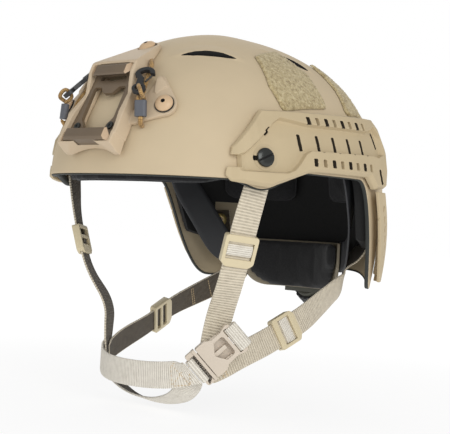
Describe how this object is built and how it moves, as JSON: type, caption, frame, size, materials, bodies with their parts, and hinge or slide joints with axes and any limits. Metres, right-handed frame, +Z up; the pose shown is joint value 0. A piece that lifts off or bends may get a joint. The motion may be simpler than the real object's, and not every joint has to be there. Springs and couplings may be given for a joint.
{
  "type": "high cut combat helmet",
  "caption": "High-cut helmet shell with a front device shroud, slotted side rails, loop panels, elastic cords, inner pads, dial-fitted rear cradle and a buckled chin harness.",
  "frame": {"origin": "in the head opening, at brow height on the middle plane, where the wearer's head is held", "axes": "+X to the wearer's left, -Y forward out of the brow, +Z up through the crown"},
  "size_m": [0.2446, 0.3031, 0.2934],
  "materials": {
    "shell_paint": "fine matt paint",
    "trim_rubber": "matt",
    "liner_foam": "closed-cell foam",
    "pad_fabric": "brushed cloth",
    "band_plastic": "matt",
    "cradle_plastic": "matt",
    "cradle_fabric": "brushed cloth",
    "dial_plastic": "matt",
    "knob_plastic": "matt",
    "spindle_steel": "turned",
    "shroud_plastic": "matt",
    "insert_metal": "brown anodised",
    "screw_paint": "matt",
    "washer_rubber": "matt",
    "black_screw": "black oxide",
    "cord_weave": "braided",
    "sleeve_rubber": "heat-shrunk",
    "hook_plastic": "satin",
    "gate_steel": "black wire",
    "rail_plastic": "fine grain",
    "bolt_steel": "worn paint",
    "loop_pile": "loop pile",
    "nut_brass": "plain",
    "webbing_tan": "ribbed webbing",
    "webbing_dark": "ribbed webbing",
    "adjuster_plastic": "satin",
    "buckle_plastic": "satin"
  },
  "bodies": {
    "helmet": {"shell": "shell_paint", "edge_trim": "trim_rubber", "impact_liner": "liner_foam", "brow_pad": "pad_fabric", "crown_pad": "pad_fabric", "side_pad_left": "pad_fabric", "side_pad_right": "pad_fabric", "rear_pad_left": "pad_fabric", "rear_pad_right": "pad_fabric", "headband_left": "band_plastic", "headband_right": "band_plastic", "shroud_body": "shroud_plastic", "shroud_insert": "insert_metal", "shroud_screws": "screw_paint", "screw_washers": "washer_rubber", "insert_screws": "black_screw", "bungee_left": "cord_weave", "bungee_right": "cord_weave", "sleeve_left": "sleeve_rubber", "sleeve_right": "sleeve_rubber", "rail_left": "rail_plastic", "rail_right": "rail_plastic", "rail_bolts": "bolt_steel", "rear_rail_left": "rail_plastic", "rear_rail_right": "rail_plastic", "loop_side_left": "loop_pile", "loop_side_right": "loop_pile", "loop_rear_left": "loop_pile", "loop_rear_right": "loop_pile", "anchor_nuts": "nut_brass", "front_strap_left": "webbing_tan", "front_strap_right": "webbing_tan", "rear_strap_left": "webbing_dark", "rear_strap_right": "webbing_dark", "chin_strap_upper": "webbing_tan", "chin_strap_lower": "webbing_dark", "buckle_male": "buckle_plastic", "male_tab": "webbing_tan"},
    "cradle": {"cradle_frame": "cradle_plastic", "cradle_pad": "cradle_fabric", "dial_housing": "dial_plastic"},
    "dial": {"dial_knob": "knob_plastic", "dial_spindle": "spindle_steel"},
    "adjuster_fl": {"adjuster_front_left": "adjuster_plastic"},
    "adjuster_fr": {"adjuster_front_right": "adjuster_plastic"},
    "adjuster_rl": {"adjuster_rear_left": "adjuster_plastic"},
    "adjuster_rr": {"adjuster_rear_right": "adjuster_plastic"},
    "buckle_end": {"buckle_female": "buckle_plastic", "female_tab": "webbing_tan"},
    "prong_a": {"prong_upper": "buckle_plastic"},
    "prong_b": {"prong_lower": "buckle_plastic"},
    "cord_hook_l": {"hook_left": "hook_plastic"},
    "cord_hook_r": {"hook_right": "hook_plastic"},
    "hook_gate_l": {"gate_left": "gate_steel"},
    "hook_gate_r": {"gate_right": "gate_steel"}
  },
  "joints": [
    {"name": "cradle_slide", "type": "slide", "parent": "helmet", "child": "cradle", "axis": [0, -1, 0], "range_m": [0, 0.012]},
    {"name": "dial_turn", "type": "hinge", "parent": "cradle", "child": "dial", "pos_m": [0, 0.1343, -0.08], "axis": [0, 0.8192, -0.5736], "range_deg": [-1, 116]},
    {"name": "adjuster_fl_slide", "type": "slide", "parent": "helmet", "child": "adjuster_fl", "axis": [-0.2989, 0.0664, -0.952], "range_m": [-0.008, 0.001]},
    {"name": "adjuster_fr_slide", "type": "slide", "parent": "helmet", "child": "adjuster_fr", "axis": [0.2989, 0.0664, -0.952], "range_m": [-0.008, 0.001]},
    {"name": "adjuster_rl_slide", "type": "slide", "parent": "helmet", "child": "adjuster_rl", "axis": [0.1052, 0.9116, 0.3974], "range_m": [-0.008, 0.001]},
    {"name": "adjuster_rr_slide", "type": "slide", "parent": "helmet", "child": "adjuster_rr", "axis": [-0.1052, 0.9116, 0.3974], "range_m": [-0.008, 0.001]},
    {"name": "buckle_release", "type": "slide", "parent": "helmet", "child": "buckle_end", "axis": [0.4825, 0.5486, 0.6828], "range_m": [0, 0.028]},
    {"name": "prong_a_press", "type": "hinge", "parent": "helmet", "child": "prong_a", "pos_m": [0.05434, -0.07305, -0.13066], "axis": [-0.7508, 0.6605, -0.0001], "range_deg": [0, 6], "stiffness_Nm_per_rad": 0.2},
    {"name": "prong_b_press", "type": "hinge", "parent": "helmet", "child": "prong_b", "pos_m": [0.06173, -0.06465, -0.14264], "axis": [0.7508, -0.6605, 0.0001], "range_deg": [0, 6], "stiffness_Nm_per_rad": 0.2},
    {"name": "hook_l_swing", "type": "hinge", "parent": "helmet", "child": "cord_hook_l", "pos_m": [0.037, -0.1305, 0.06], "axis": [0.3357, -0.6108, 0.7171], "range_deg": [-12, 1]},
    {"name": "hook_r_swing", "type": "hinge", "parent": "helmet", "child": "cord_hook_r", "pos_m": [-0.037, -0.1305, 0.06], "axis": [0.3357, 0.6108, -0.7171], "range_deg": [-12, 1]},
    {"name": "gate_l_press", "type": "hinge", "parent": "cord_hook_l", "child": "hook_gate_l", "pos_m": [0.03635, -0.12371, 0.06609], "axis": [0.3357, -0.6108, 0.7171], "range_deg": [0, 20], "stiffness_Nm_per_rad": 0.01},
    {"name": "gate_r_press", "type": "hinge", "parent": "cord_hook_r", "child": "hook_gate_r", "pos_m": [-0.03635, -0.12371, 0.06609], "axis": [0.3357, 0.6108, -0.7171], "range_deg": [0, 20], "stiffness_Nm_per_rad": 0.01}
  ],
  "couplings": [
    {"joint": "dial_turn", "follows": "cradle_slide", "rad_per_m": 166.67}
  ]
}
